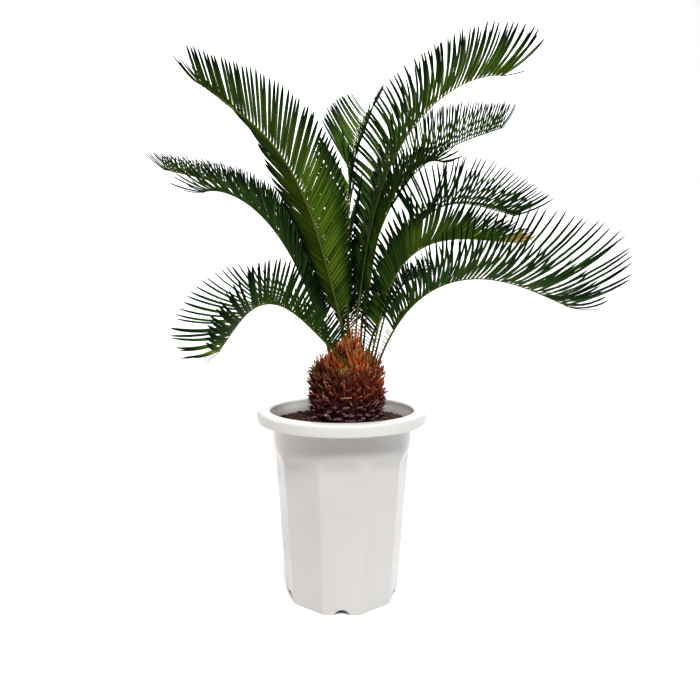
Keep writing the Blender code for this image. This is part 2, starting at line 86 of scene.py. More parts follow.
# Soil. A mound, or a dip, is its height, its middle to the right and back, and its reach each way.
SOIL_LEVEL = 0.2585
SOIL_GAP = 0.0004
SOIL_MOUNDS = (
    (0.0035, 0.068, -0.012, 0.020, 0.035),
    (0.0040, -0.062, -0.010, 0.022, 0.035),
    (-0.0030, 0.0, -0.082, 0.050, 0.020),
)
SOIL_LUMPS = 0.0016
SOIL_EDGE_DROP = 0.004
SOIL_STEPS = 150
SOIL_ROWS = 46
CRUMBS = 1900
SMALLEST_CRUMB = 0.0008
CRUMB_RANGE = 0.0030
BIG_CRUMB = 0.0022

# Trunk and crown. A profile is (height, radius) points.
TRUNK_X = 0.008
TRUNK_PROFILE = (
    (0.2540, 0.0470), (0.2610, 0.0485), (0.2780, 0.0520),
    (0.3050, 0.0515), (0.3240, 0.0500), (0.3360, 0.0465),
)
CROWN_PROFILE = (
    (0.3340, 0.0440), (0.3420, 0.0345), (0.3520, 0.0210),
    (0.3640, 0.0145), (0.3760, 0.0110), (0.3820, 0.0040),
)
TRUNK_STUBS = 360
TRUNK_HOOKS = 330
SHOULDER_STUBS = 34
TRUNK_FIBRES = 46
STUB_HEIGHTS = (0.2545, 0.3350)
CROWN_SCALES = 270
CROWN_FUZZ = 60
CROWN_FIBRES = 330
SCALE_HEIGHTS = (0.3270, 0.3660)
# The crown's upper scales stand to the left: from which height, and by what share of the height above it.
CROWN_LEAN_START = 0.342
CROWN_LEAN = 0.25
# Tufts of upright spikes at the left and right shoulders: how many, their middle, spread and length.
TUFTS = (
    (26, (-0.026, -0.012, 0.338), 0.008, 0.024),
    (6, (0.038, -0.018, 0.343), 0.004, 0.019),
)
GOLDEN_TURN = math.pi * (3 - math.sqrt(5))
FULL_TURN = 2 * math.pi

# Each frond's stem, as in the CAD model: its heading in degrees, its root to the right, back and up, its
# length, the angles at which it leaves and ends, and how its bend is spread. Its leaflets follow: how yellow
# they are from 0 to 1, how far they curve, as a share of their length, and their usual width. strands is how
# many woolly strands hug its foot.
Stem = namedtuple(
    "Stem", "name heading right back up length rise finish bend settle age curve width strands"
)
STEM_ROWS = (
    ("frond_upper_left", 226, 0.006, -0.030, 0.342, 0.431, 70.5, 18.3, 4.5, 3.67, 0.22, 0.018, 0.0050, 38),
    ("frond_upper_right", -20, 0.008, -0.012, 0.352, 0.466, 84, -14, 2.6, 0.8, 0.10, 0.035, 0.0040, 38),
    ("frond_lower_right", -36, 0.042, -0.018, 0.339, 0.325, 65, -25, 1.9, 2.4, 0.04, 0.055, 0.0031, 5),
    ("frond_lower_left", 228, 0.005, -0.036, 0.338, 0.273, 37.3, -48.7, 5.85, 6.7, 0.10, 0.035, 0.0041, 16),
    ("frond_right", -10, 0.032, -0.010, 0.339, 0.320, 78, -6, 3.8, 6.0, 0.16, 0.030, 0.0050, 6),
    ("frond_right_back", 16, 0.038, 0.008, 0.339, 0.395, 76, -12, 4.9, 6.0, 0.0, 0.030, 0.0035, 5),
    ("frond_back_centre", 72, 0.002, 0.008, 0.360, 0.405, 95, 36, 2.7, 1.5, 0.16, 0.025, 0.0038, 30),
    ("frond_right_drooping", 14, 0.022, 0.003, 0.346, 0.343, 85, -26, 2.85, 0.5, 0.20, 0.025, 0.0042, 14),
    ("frond_upper_right_back", 34, 0.018, 0.017, 0.350, 0.537, 85, 21, 2.2, 3.2, 0.10, 0.025, 0.0033, 14),
    ("frond_left_drooping", 170, -0.021, -0.007, 0.343, 0.341, 72, -27, 2.1, 0.5, 0.10, 0.025, 0.0034, 14),
    ("frond_middle_left", 152, -0.016, 0.008, 0.345, 0.489, 69.8, 14.7, 2.65, 3.58, 0.20, 0.025, 0.0030, 14),
    ("frond_back_left", 118, -0.006, 0.020, 0.348, 0.310, 88, 25, 1.3, 1.0, 0.06, 0.025, 0.0037, 12),
    ("frond_low_back", 92, 0.002, 0.033, 0.340, 0.280, 76, -15, 1.2, 1.0, 0.0, 0.025, 0.0038, 10),
    ("frond_low_back_right", 50, 0.028, 0.024, 0.339, 0.230, 72, 0, 1.2, 1.0, 0.0, 0.025, 0.0038, 10),
)
STEMS = tuple(Stem(*row) for row in STEM_ROWS)
# Stretches of yellower leaflets: the frond, from and to which share of its stem, and how yellow.
YELLOW = (
    ("frond_upper_left", 0.24, 0.62, 0.42),
    # This stretch is partly real yellowing and partly painted light: it is made yellower to stand in for the
    # light on it.
    ("frond_upper_right_back", 0.30, 0.62, 0.60),
    ("frond_upper_right", 0.25, 0.74, 0.20),
    ("frond_upper_right", 0.74, 1.01, 0.32),
    ("frond_lower_right", 0.50, 0.86, 0.13),
    ("frond_back_centre", 0.40, 0.95, 0.24),
    ("frond_right", 0.50, 0.88, 0.36),
    ("frond_right", 0.90, 1.01, 0.95),
    ("frond_lower_left", 0.95, 1.01, 0.62),
)
YELLOW_FADE = 0.08
# Rows of leaflets turned about their own length, most with their tips a little further out: the frond, the
# hand, which is 1 on the right as seen from the stem's foot, and the angle in radians.
TURNED = {("frond_upper_left", 1): 0.70}
TURN_SPREAD = 0.16
# A stem is oval, flatter above than below, and loses most of its width by its tip.
STEM_STEPS = 96
STEM_SIDES = 10
STEM_HALF_WIDTH = 0.0042
STEM_TAPER = 0.72
STEM_UPPER = 0.5
STEM_LOWER = 0.85
STEM_POINT = 0.004
# The stems are drawn slimmer than in the CAD model, and swell near their foot.
STEM_SLIMNESS = 0.56
FOOT_SWELL = 0.50
FOOT_SWELL_REACH = 0.03
BARE_STEM = 0.18
CLEAR_OF_STEM = 0.0048
# A leaflet's width grows with its length, up to its stem's usual width, and shrinks along the stem. Its root
# is sunk a little into the stem.
LEAFLET_WIDTH = 0.0022
LEAFLET_WIDENING = 0.028
WIDTH_AT_FOOT = 1.34
WIDTH_LOST = 0.42
LEAFLET_SUNK = 0.0015
# Some leaflets lean astray along the stem: how many, and how far at most, as shares. The others lean less.
ASTRAY_LEAFLETS = 0.14
ASTRAY_LEAN = 0.10
USUAL_LEAN = 0.028
SPINE_SPACING = 0.0075
SPINE_WIDTH = 0.0015

BLACK = (0.0, 0.0, 0.0)
WHITE = (1.0, 1.0, 1.0)

# Softboxes: the name, the place, the target, the size in metres, the power in watts and the colour.
PLANT_MIDDLE = (0.0, 0.0, 0.40)
LIGHTS = (
    ("key_light", (0.30, -1.45, 2.20), PLANT_MIDDLE, 0.6, 86, WHITE),
    ("fill_light", (-1.6, -0.9, 0.7), PLANT_MIDDLE, 1.2, 3.0, (1.0, 0.68, 0.46)),
    ("backdrop_light", (0.0, 1.0, 2.6), (0.0, 2.7, 1.0), 2.4, 118, WHITE),
)
SURROUNDING_LIGHT = 0.16


def world_collection(name):
    """A new collection, linked to the scene."""
    made = bpy.data.collections.new(name)
    bpy.context.scene.collection.children.link(made)
    return made


PLANT = world_collection("potted_sago_palm")
STUDIO = world_collection("studio")


def unit(v):
    """A vector's direction, with a length of 1."""
    return v / np.linalg.norm(v)


def on_ring(steps):
    """The angles of evenly spaced points round a circle."""
    return [FULL_TURN * i / steps for i in range(steps)]


def smooth_step(x):
    """Rises smoothly from 0 at x = 0 to 1 at x = 1."""
    x = min(max(x, 0.0), 1.0)
    return x * x * (3 - 2 * x)


# Materials


class Nodes:
    """A material's node tree, with short calls for the nodes used here."""

    def __init__(self, name):
        self.material = bpy.data.materials.new(name)
        self.material.use_nodes = True
        self.tree = self.material.node_tree
        self.shader = self.tree.nodes["Principled BSDF"]

    def add(self, kind, **settings):
        node = self.tree.nodes.new(kind)
        for key, value in settings.items():
            setattr(node, key, value)
        return node

    def link(self, source, target):
        self.tree.links.new(source, target)

    def put(self, value, socket):
        """Feeds a socket with an output, a plain number or a colour."""
        if isinstance(value, bpy.types.NodeSocket):
            self.link(value, socket)
        else:
            socket.default_value = (*value, 1.0) if isinstance(value, tuple) else value

    def span(self, value, ends, low, high, **settings):
        """A number read through a range with the given ends."""
        node = self.add("ShaderNodeMapRange", **settings)
        node.inputs[ends + " Min"].default_value = low
        node.inputs[ends + " Max"].default_value = high
        self.link(value, node.inputs["Value"])
        return node.outputs["Result"]

    def coordinates(self, stretch=(1, 1, 1)):
        """Object coordinates, scaled on each axis."""
        source = self.add("ShaderNodeTexCoord").outputs["Object"]
        if stretch == (1, 1, 1):
            return source
        mapping = self.add("ShaderNodeMapping")
        mapping.inputs["Scale"].default_value = stretch
        self.link(source, mapping.inputs["Vector"])
        return mapping.outputs["Vector"]

    def noise(self, scale, detail=4.0, roughness=0.55, stretch=(1, 1, 1)):
        """The grey value of a noise pattern."""
        node = self.add("ShaderNodeTexNoise")
        node.inputs["Scale"].default_value = scale
        node.inputs["Detail"].default_value = detail
        node.inputs["Roughness"].default_value = roughness
        self.link(self.coordinates(stretch), node.inputs["Vector"])
        return node.outputs["Fac"]

    def attribute(self, name):
        """A number stored on the mesh."""
        return self.add("ShaderNodeAttribute", attribute_name=name).outputs["Fac"]

    def ramp(self, value, *stops):
        """A colour ramp: stops are (position, colour)."""
        node = self.add("ShaderNodeValToRGB")
        elements = node.color_ramp.elements
        while len(elements) < len(stops):
            elements.new(0.5)
        for element, (position, colour) in zip(elements, stops):
            element.position = position
            element.color = (*colour, 1.0)
        self.link(value, node.inputs["Fac"])
        return node.outputs["Color"]

    def mask(self, value, low, high):
        """Black below low and white above high."""
        return self.ramp(value, (low, BLACK), (high, WHITE))

    def mix(self, share, first, second):
        """Two colours mixed by a share. Each may be a plain value or an output."""
        node = self.add("ShaderNodeMix", data_type="RGBA")
        for number, value in ((0, share), (6, first), (7, second)):
            self.put(value, node.inputs[number])
        return node.outputs[2]

    def maths(self, operation, first, second):
        """Arithmetic on two numbers. Each may be a plain value or an output."""
        node = self.add("ShaderNodeMath", operation=operation)
        self.put(first, node.inputs[0])
        self.put(second, node.inputs[1])
        return node.outputs[0]

    def times(self, first, second):
        return self.maths("MULTIPLY", first, second)

    def spread(self, value, low, high):
        """A number from 0 to 1 spread from low to high."""
        return self.span(value, "To", low, high)

    def place_on(self, axis):
        """The place along an axis, in metres. Z is the height above the floor."""
        node = self.add("ShaderNodeSeparateXYZ")
        self.link(self.coordinates(), node.inputs[0])
        return node.outputs[axis]

    def step(self, value, low, high):
        """0 below low and 1 above high, smooth between."""
        return self.span(value, "From", low, high, interpolation_type="SMOOTHSTEP")

    def colour(self, output):
        self.link(output, self.shader.inputs["Base Color"])

    def rough(self, output):
        self.link(output, self.shader.inputs["Roughness"])

    def shine(self, level):
        """How strongly the surface mirrors light."""
        self.shader.inputs["Specular IOR Level"].default_value = level

    def bump(self, value, strength, distance):
        """Raises the surface by a grey value."""
        node = self.add("ShaderNodeBump")
        node.inputs["Strength"].default_value = strength
        node.inputs["Distance"].default_value = distance
        self.link(value, node.inputs["Height"])
        self.link(node.outputs["Normal"], self.shader.inputs["Normal"])


def pot_material():
    """Off-white moulded plastic, with the rim painted paler as a painted highlight, and darker and browner
    inside just above the soil.
    """
    m = Nodes("white_plastic")
    height = m.place_on("Z")
    tint = m.ramp(m.noise(9, 3), (0.3, (0.490, 0.470, 0.458)), (0.7, (0.522, 0.512, 0.502)))
    # The rim is painted paler than the body: a painted highlight for the light the rim catches.
    rim_foot = POT_HEIGHT - RIM_DEPTH
    tint = m.mix(m.step(height, rim_foot - 0.0020, rim_foot + 0.0005), tint, (0.585, 0.583, 0.566))
    flecks = m.times(m.mask(m.noise(420, 2), 0.70, 0.78), 0.08)
    tint = m.mix(flecks, tint, (0.42, 0.39, 0.36))
    # Darker and browner low on the inside wall, just above the soil, with a ragged upper edge.
    ragged = m.maths("ADD", height, m.spread(m.noise(60, 5), -0.003, 0.003))
    low = m.maths("SUBTRACT", 1.0, m.step(ragged, SOIL_LEVEL - 0.0005, SOIL_LEVEL + 0.0065))
    low_inside_darkening = m.times(m.times(m.attribute("inside"), low), 0.35)
    m.colour(m.mix(low_inside_darkening, tint, (0.30, 0.24, 0.20)))
    m.rough(m.spread(m.noise(35, 3), 0.28, 0.42))
    m.bump(m.noise(260, 3), 0.08, 0.0004)
    m.shader.inputs["Coat Weight"].default_value = 0.12
    m.shader.inputs["Coat Roughness"].default_value = 0.25
    return m.material


def soil_material():
    """Dark damp potting soil with paler dry crumbs."""
    m = Nodes("dark_soil")
    fine = m.noise(520, 6, 0.7)
    base = m.ramp(
        fine,
        (0.25, (0.007, 0.004, 0.004)),
        (0.55, (0.048, 0.021, 0.018)),
        (0.80, (0.140, 0.078, 0.070)),
    )
    pale = m.times(m.mask(m.attribute("tone"), 0.55, 1.0), 0.40)
    m.colour(m.mix(pale, base, (0.22, 0.13, 0.11)))
    m.rough(m.spread(m.noise(200, 4), 0.70, 1.0))
    m.bump(fine, 0.8, 0.0012)
    m.shine(0.05)
    return m.material


def bark_material():
    """Dry stubs of old leaves: purple grey at the foot, wine red above, rust orange at the top right, with
    painted shade, nearly black, at the stubs' roots between them.
    """
    m = Nodes("dry_bark")
    patch = m.noise(38, 3)
    rise = m.step(m.maths("ADD", m.place_on("Z"), m.spread(patch, -0.014, 0.014)), 0.258, 0.344)
    tint = m.ramp(
        rise,
        (0.00, (0.110, 0.050, 0.084)),
        (0.22, (0.100, 0.024, 0.040)),
        (0.45, (0.140, 0.013, 0.011)),
        (0.72, (0.170, 0.026, 0.008)),
        (1.00, (0.190, 0.055, 0.013)),
    )
    right = m.step(m.maths("ADD", m.place_on("X"), m.spread(patch, -0.03, 0.03)), 0.000, 0.026)
    rust = m.times(right, m.step(rise, 0.25, 0.50))
    tint = m.mix(m.times(rust, 0.80), tint, (0.300, 0.040, 0.008))
    tone = m.attribute("tone")
    tint = m.mix(m.spread(tone, 0.72, 0.0), tint, (0.024, 0.004, 0.006))
    streaks = m.noise(260, 5, 0.65, (1, 1, 0.22))
    tint = m.mix(m.times(m.mask(streaks, 0.48, 0.66), 0.38), tint, (0.34, 0.13, 0.065))
    along = m.attribute("along")
    bright = m.ramp(tone, (0.45, (0.05, 0.05, 0.05)), (0.85, WHITE))
    end = m.times(m.step(along, 0.60, 0.90), bright)
    ends = m.ramp(
        rise,
        (0.10, (0.250, 0.210, 0.260)),
        (0.40, (0.330, 0.160, 0.130)),
        (0.90, (0.520, 0.250, 0.110)),
    )
    tint = m.mix(m.times(end, m.spread(rise, 0.50, 0.80)), tint, ends)
    pale = m.times(m.attribute("pale"), m.spread(streaks, 0.2, 1.3))
    tint = m.mix(pale, tint, (0.56, 0.33, 0.20))
    # Painted shade: the stubs' roots and the barrel between them are painted nearly black, where shade falls
    # between the stubs.
    m.colour(m.mix(m.step(along, -0.10, 0.45), (0.010, 0.002, 0.003), tint))
    m.rough(m.spread(m.noise(150, 4), 0.55, 0.95))
    m.bump(streaks, 0.7, 0.0008)
    m.shine(0.05)
    return m.material


def crown_material():
    """Woolly orange scales with paler dry tips, duller to the right, and painted shade, nearly black, at the
    scales' roots.
    """
    m = Nodes("orange_scales")
    tone = m.attribute("tone")
    base = m.ramp(
        tone,
        (0.00, (0.050, 0.006, 0.004)),
        (0.25, (0.200, 0.026, 0.007)),
        (0.50, (0.500, 0.084, 0.011)),
        (0.72, (0.600, 0.170, 0.038)),
        (0.90, (0.640, 0.340, 0.130)),
        (1.00, (0.400, 0.250, 0.050)),
    )
    strands = m.noise(420, 4, 0.6, (1, 1, 0.10))
    dark = m.ramp(strands, (0.36, WHITE), (0.58, BLACK))
    tint = m.mix(m.times(dark, 0.68), base, (0.030, 0.005, 0.003))
    right = m.times(m.step(m.place_on("X"), 0.024, 0.042), 0.55)
    tint = m.mix(right, tint, (0.110, 0.030, 0.010))
    along = m.attribute("along")
    tips = m.times(m.step(along, 0.50, 1.0), m.spread(tone, 0.1, 1.0))
    tint = m.mix(m.times(tips, 0.45), tint, (0.66, 0.40, 0.20))
    # Painted shade: the scales' roots and the cone between them are painted nearly black, where shade falls
    # between the scales.
    m.colour(m.mix(m.step(along, 0.0, 0.35), (0.020, 0.004, 0.003), tint))
    m.rough(m.spread(m.noise(180, 3), 0.60, 0.95))
    m.bump(strands, 0.6, 0.0006)
    m.shine(0.05)
    return m.material


def frond_material():
    """Dark leaflets, lighter by the stem and darker outward to nearly black tips as painted shade, nearly
    black at the edge, on a stem brown at its foot.
    """
    m = Nodes("green_frond")
    tone = m.attribute("tone")
    along = m.attribute("along")
    age = m.attribute("age")
    under = m.attribute("under")
    share = m.attribute("share")
    mottle = m.noise(90, 4)
    lighter_by_stem = m.ramp(
        tone,
        (0.0, (0.006, 0.022, 0.001)),
        (0.5, (0.017, 0.050, 0.003)),
        (1.0, (0.040, 0.088, 0.007)),
    )
    body = m.ramp(
        tone,
        (0.0, (0.002, 0.012, 0.002)),
        (0.5, (0.009, 0.036, 0.006)),
        (1.0, (0.025, 0.068, 0.012)),
    )
    # Painted shade: leaflets are painted lighter by the stem and darker further out.
    leaf = m.mix(m.step(along, 0.04, 0.42), lighter_by_stem, body)
    leaf = m.mix(m.times(under, 0.30), leaf, (0.024, 0.052, 0.007))
    leaf = m.mix(m.spread(mottle, 0.0, 0.30), leaf, (0.005, 0.020, 0.004))
    inner = m.maths("SUBTRACT", 1.0, m.times(m.step(along, 0.30, 0.85), 0.75))
    patchy = m.spread(m.noise(22, 2), 0.5, 1.1)
    yellow = m.times(m.times(m.step(age, 0.0, 0.60), inner), patchy)
    leaf = m.mix(yellow, leaf, (0.094, 0.160, 0.007))
    edge = m.times(m.step(m.attribute("edge"), 0.35, 1.0), 0.62)
    leaf = m.mix(edge, leaf, (0.002, 0.008, 0.002))
    # Painted shade: the tips are painted nearly black.
    tip = m.times(m.step(along, 0.45, 0.92), 0.88)
    leaf = m.mix(tip, leaf, (0.0010, 0.0040, 0.0015))
    straw = m.ramp(along, (0.2, (0.60, 0.40, 0.12)), (0.9, (0.36, 0.17, 0.03)))
    leaf = m.mix(m.step(age, 0.55, 0.95), leaf, straw)
    rib = m.ramp(
        share,
        (0.00, (0.170, 0.060, 0.014)),
        (0.06, (0.085, 0.052, 0.009)),
        (0.25, (0.046, 0.056, 0.007)),
        (0.60, (0.050, 0.068, 0.009)),
        (1.00, (0.300, 0.290, 0.090)),
    )
    rib = m.mix(m.spread(mottle, 0.0, 0.5), rib, (0.030, 0.036, 0.006))
    rib = m.mix(m.times(under, m.spread(share, 0.03, 0.45)), rib, (0.270, 0.310, 0.070))
    m.colour(m.mix(m.attribute("stem"), leaf, rib))
    veins = m.noise(320, 3, 0.5, (1, 1, 0.3))
    m.rough(m.spread(veins, 0.40, 0.60))
    m.bump(veins, 0.15, 0.0003)
    m.shine(0.012)
    return m.material


def studio_material():
    """Plain pale paper, greyer well in front of the plant, so that it throws less light up."""
    m = Nodes("pale_paper")
    pale = m.ramp(m.noise(3, 2), (0.3, (0.84, 0.84, 0.84)), (0.7, (0.86, 0.86, 0.86)))
    m.colour(m.mix(m.step(m.place_on("Y"), -0.80, -0.28), (0.26, 0.26, 0.26), pale))
    m.rough(m.spread(m.noise(40, 2), 0.85, 0.95))
    return m.material


# Meshes


class Shape:
    """Points and faces with numbers stored on them, joined into one mesh."""

    def __init__(self):
        self.points, self.faces = [], []
        self.values = defaultdict(list)
        self.marks = defaultdict(list)

    def add(self, points, faces, values, marks=None):
        """values holds a number for each point, or one for all, and marks one for each face."""
        first = len(self.points)
        self.points += [tuple(map(float, p)) for p in points]
        self.faces += [tuple(first + i for i in face) for face in faces]
        for key, value in values.items():
            self.values[key] += list(value) if np.iterable(value) else [value] * len(points)
        for key, value in (marks or {}).items():
            self.marks[key] += value

    def piece(self, name, finish, node, sharp):
        """Makes the object, which stands for a CAD node. Edges sharper than the angle stay sharp."""
        mesh = bpy.data.meshes.new(name)
        mesh.from_pydata(self.points, [], self.faces)
        mesh.update()
        for key, value in self.values.items():
            mesh.attributes.new(key, "FLOAT", "POINT").data.foreach_set("value", value)
        for key, value in self.marks.items():
            mesh.attributes.new(key, "FLOAT", "FACE").data.foreach_set("value", value)
        mesh.shade_smooth()
        mesh.set_sharp_from_angle(angle=math.radians(sharp))
        made = bpy.data.objects.new(name, mesh)
        PLANT.objects.link(made)
        return dressed(made, finish, node)


def dressed(made, finish, node):
    """Gives an object its material, hangs it under the root body and hides the CAD node that it stands for.
    """
    made.data.materials.clear()
    made.data.materials.append(finish)
    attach(made, "root")
    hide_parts(node)
    return made


def tube_faces(rings, sides):
    """Faces of a tube of rings, capped at its first ring and open at its last."""
    faces = [tuple(reversed(range(sides)))]
    for a in range(0, (rings - 1) * sides, sides):
        b = a + sides
        faces += [(a + i, a + (i + 1) % sides, b + (i + 1) % sides, b + i) for i in range(sides)]
    return faces


def pointed_faces(rings, sides):
    """Faces of a tube of rings that is capped at its first ring and ends in one more point."""
    last = (rings - 1) * sides
    end = [(last + i, last + (i + 1) % sides, last + sides) for i in range(sides)]
    return tube_faces(rings, sides) + end


# Pot


def body_radius(height):
    """The radius of the pot's body outside, at its corners."""
    top = POT_HEIGHT - RIM_DEPTH
    return BODY_FOOT_RADIUS + (BODY_TOP_RADIUS - BODY_FOOT_RADIUS) * height / top


def facet_factor(angle, height):
    """How far the round section is drawn in, for flat soft-cornered facets that end in shallow arches."""
    half = math.pi / FACETS
    offset = (angle + math.pi / 2 + half) % (2 * half) - half
    share = smooth_step((height - FACETS_END + ARCH_LEAD) / (COLLAR_START - FACETS_END + ARCH_LEAD))
    flat = (math.cos(half) + (1 - math.cos(half)) * share) / math.cos(offset)
    blend = max(FACET_SOFTNESS - abs(1.0 - flat), 0.0) / FACET_SOFTNESS
    return min(1.0, flat) - blend * blend * FACET_SOFTNESS / 4


def arc(centre_r, centre_z, radius, start, end, steps):
    """Points of a rounding in a turned profile."""
    turns = [math.radians(start + (end - start) * i / steps) for i in range(steps + 1)]
    return [(centre_r + radius * math.cos(a), centre_z + radius * math.sin(a)) for a in turns]


def pot_profile():
    """The pot's section as (radius, height, inside) points, from the floor's middle round to below it."""
    floor_top = FLOOR_UNDERSIDE + FLOOR
    rim_foot = POT_HEIGHT - RIM_DEPTH
    inner = [(r, floor_top) for r in (0.0, 0.02, 0.05, 0.07)]
    inner += [(body_radius(z) - WALL, z) for z in np.linspace(floor_top, rim_foot - 0.002, 26)]
    inner += [(MOUTH_RADIUS - 0.0015, rim_foot + 0.004), (MOUTH_RADIUS, POT_HEIGHT - 0.004)]
    outer = arc(MOUTH_RADIUS + LIP_ROUNDING, POT_HEIGHT - LIP_ROUNDING, LIP_ROUNDING, 180, 90, 6)
    outer += arc(RIM_RADIUS - BROW_ROUNDING, POT_HEIGHT - BROW_ROUNDING, BROW_ROUNDING, 90, 0, 7)
    outer += arc(RIM_RADIUS - RIM_DRAFT - HEM_ROUNDING, rim_foot + HEM_ROUNDING, HEM_ROUNDING, 0, -90, 5)
    neck = body_radius(rim_foot)
    outer += [(neck + 0.0012, rim_foot), (neck + 0.0002, rim_foot - 0.0010)]
    outer += [(body_radius(z), z) for z in np.linspace(rim_foot - 0.003, 0.003, 60)]
    outer += arc(BODY_FOOT_RADIUS - FOOT_ROUNDING, FOOT_ROUNDING, FOOT_ROUNDING, 0, -90, 3)
    inside_foot = BODY_FOOT_RADIUS - FOOT_RING_WIDTH
    outer.append((inside_foot, 0.0))
    outer += [(r, FLOOR_UNDERSIDE) for r in (inside_foot, 0.06, 0.0)]
    return [(r, z, 1.0) for r, z in inner] + [(r, z, 0.0) for r, z in outer]


def pot_cutters():
    """The cylinders that cut the notches of the foot and the drain holes."""
    radius = ((NOTCH_WIDTH / 2) ** 2 + NOTCH_HEIGHT**2) / (2 * NOTCH_HEIGHT)
    cutters = []
    for i in range(NOTCHES):
        angle = -math.pi / 2 + i * FULL_TURN / NOTCHES
        x, y = math.cos(angle), math.sin(angle)
        place = (BODY_FOOT_RADIUS * x, BODY_FOOT_RADIUS * y, NOTCH_HEIGHT - radius)
        cutters.append(cutter(f"notch_{i}", radius, 0.03, place, (0, math.pi / 2, angle), 64))
        place = (DRAIN_CIRCLE * x, DRAIN_CIRCLE * y, FLOOR_UNDERSIDE)
        cutters.append(cutter(f"drain_{i}", DRAIN_RADIUS, 0.02, place, (0, 0, angle + 0.2), 32))
    return cutters


def make_pot(finish):
    """The pot as a fine lathe with soft facets, cut by its foot notches and drain holes."""
    points, faces, inside, rows = [], [], [], []
    for r, z, mark in pot_profile():
        ring = on_ring(POT_STEPS) if r > 0 else [0.0]
        rows.append(list(range(len(points), len(points) + len(ring))))
        for a in ring:
            factor = facet_factor(a, z) * r
            points.append((factor * math.cos(a), factor * math.sin(a), z))
            inside.append(mark)
    for low, high in zip(rows[:-1], rows[1:]):
        for i in range(POT_STEPS):
            j = (i + 1) % POT_STEPS
            if len(low) == 1:
                faces.append((low[0], high[i], high[j]))
            elif len(high) == 1:
                faces.append((low[j], low[i], high[0]))
            else:
                faces.append((low[j], low[i], high[i], high[j]))
    mesh = bpy.data.meshes.new("pot_shell")
    mesh.from_pydata(points, [], faces)
    mesh.attributes.new("inside", "FLOAT", "POINT").data.foreach_set("value", inside)
    pot = bpy.data.objects.new("pot_shell", mesh)
    PLANT.objects.link(pot)
    cutters = pot_cutters()
    for one in cutters:
        boolean = pot.modifiers.new(one.name, "BOOLEAN")
        boolean.operation = "DIFFERENCE"
        boolean.object = one
    bpy.context.view_layer.update()
    graph = bpy.context.evaluated_depsgraph_get()
    cut = bpy.data.meshes.new_from_object(pot.evaluated_get(graph))
    pot.modifiers.clear()
    pot.data = cut
    for one in cutters:
        bpy.data.objects.remove(one, do_unlink=True)
    cut.shade_smooth()
    cut.set_sharp_from_angle(angle=math.radians(POT_SHARP))
    return dressed(pot, finish, "pot")


def cutter(name, radius, depth, place, turn, sides):
    """A cylinder that only cuts."""
    work = bmesh.new()
    bmesh.ops.create_cone(work, cap_ends=True, segments=sides, radius1=radius, radius2=radius, depth=depth)
    mesh = bpy.data.meshes.new(name)
    work.to_mesh(mesh)
    work.free()
    made = bpy.data.objects.new(name, mesh)
    made.location = place
    made.rotation_euler = turn
    PLANT.objects.link(made)
    return made


# Soil


def soil_height(x, y):
    """The height of the soil's surface, with low mounds and a dip in front."""
    edge = body_radius(SOIL_LEVEL) - WALL - 0.001
    height = SOIL_LEVEL - SOIL_EDGE_DROP * (math.hypot(x, y) / edge) ** 4
    for rise, right, back, wide, deep in SOIL_MOUNDS:
        height += rise * math.exp(-(((x - right) / wide) ** 2 + ((y - back) / deep) ** 2))
    lumps = noise.fractal(Vector((x * 70, y * 70, 3.0)), 0.9, 2.0, 5)
    return height + SOIL_LUMPS * lumps


def crumb(shape, rng, x, y, z, size):
    """One angular crumb of soil."""
    work = bmesh.new()
    bmesh.ops.create_icosphere(work, subdivisions=2 if size > BIG_CRUMB else 1, radius=1.0)
    seed = rng.uniform(0, 100)
    scale = [size * rng.uniform(0.6, 1.15) for _ in range(3)]
    turn = rng.uniform(0, math.pi)
    ca, sa = math.cos(turn), math.sin(turn)
    points = []
    for vertex in work.verts:
        rough = 1 + 0.45 * noise.noise(vertex.co * 1.6 + Vector((seed, 0, 0)))
        a, b, c = (vertex.co[k] * rough * scale[k] for k in range(3))
        points.append((x + a * ca - b * sa, y + a * sa + b * ca, z + 0.8 * c))
    faces = [tuple(v.index for v in face.verts) for face in work.faces]
    work.free()
    shape.add(points, faces, {"tone": rng.random() ** 1.5})


def make_soil(finish):
    """The soil: a closed body with a lumpy top, under a layer of loose crumbs."""
    rng = random.Random(21)
    shape = Shape()
    steps = SOIL_STEPS
    edge = body_radius(SOIL_LEVEL) - WALL - SOIL_GAP
    points, tones = [(0.0, 0.0, soil_height(0, 0))], [0.2]
    for row in range(1, SOIL_ROWS + 1):
        r = edge * row / SOIL_ROWS
        for a in on_ring(steps):
            factor = r * (facet_factor(a, SOIL_LEVEL) if row == SOIL_ROWS else 1.0)
            x, y = factor * math.cos(a), factor * math.sin(a)
            points.append((x, y, soil_height(x, y)))
            tones.append(rng.random() * 0.6)
    side_heights = (0.20, 0.10, FLOOR_UNDERSIDE + FLOOR + SOIL_GAP)
    for height in side_heights:
        r = body_radius(height) - WALL - SOIL_GAP
        for a in on_ring(steps):
            factor = r * facet_factor(a, height)
            points.append((factor * math.cos(a), factor * math.sin(a), height))
            tones.append(0.1)
    faces = [(0, 1 + i, 1 + (i + 1) % steps) for i in range(steps)]
    last = 1 + (SOIL_ROWS + len(side_heights) - 1) * steps
    for a in range(1, last, steps):
        b = a + steps
        faces += [(a + i, b + i, b + (i + 1) % steps, a + (i + 1) % steps) for i in range(steps)]
    faces.append(tuple(last + i for i in reversed(range(steps))))
    shape.add(points, faces, {"tone": tones})
    for _ in range(CRUMBS):
        size = SMALLEST_CRUMB + CRUMB_RANGE * rng.random() ** 2.6
        r = (edge - size - SMALLEST_CRUMB) * math.sqrt(rng.uniform(0.16, 1.0))
        a = rng.uniform(0, FULL_TURN)
        x, y = r * math.cos(a), r * math.sin(a)
        crumb(shape, rng, x, y, soil_height(x, y) + 0.25 * size, size)
    return shape.piece("soil_fine", finish, "soil", sharp=40)


# Trunk and crown


def draws(rng, *ranges):
    """A random number from each range, in turn."""
    return [rng.uniform(low, high) for low, high in ranges]


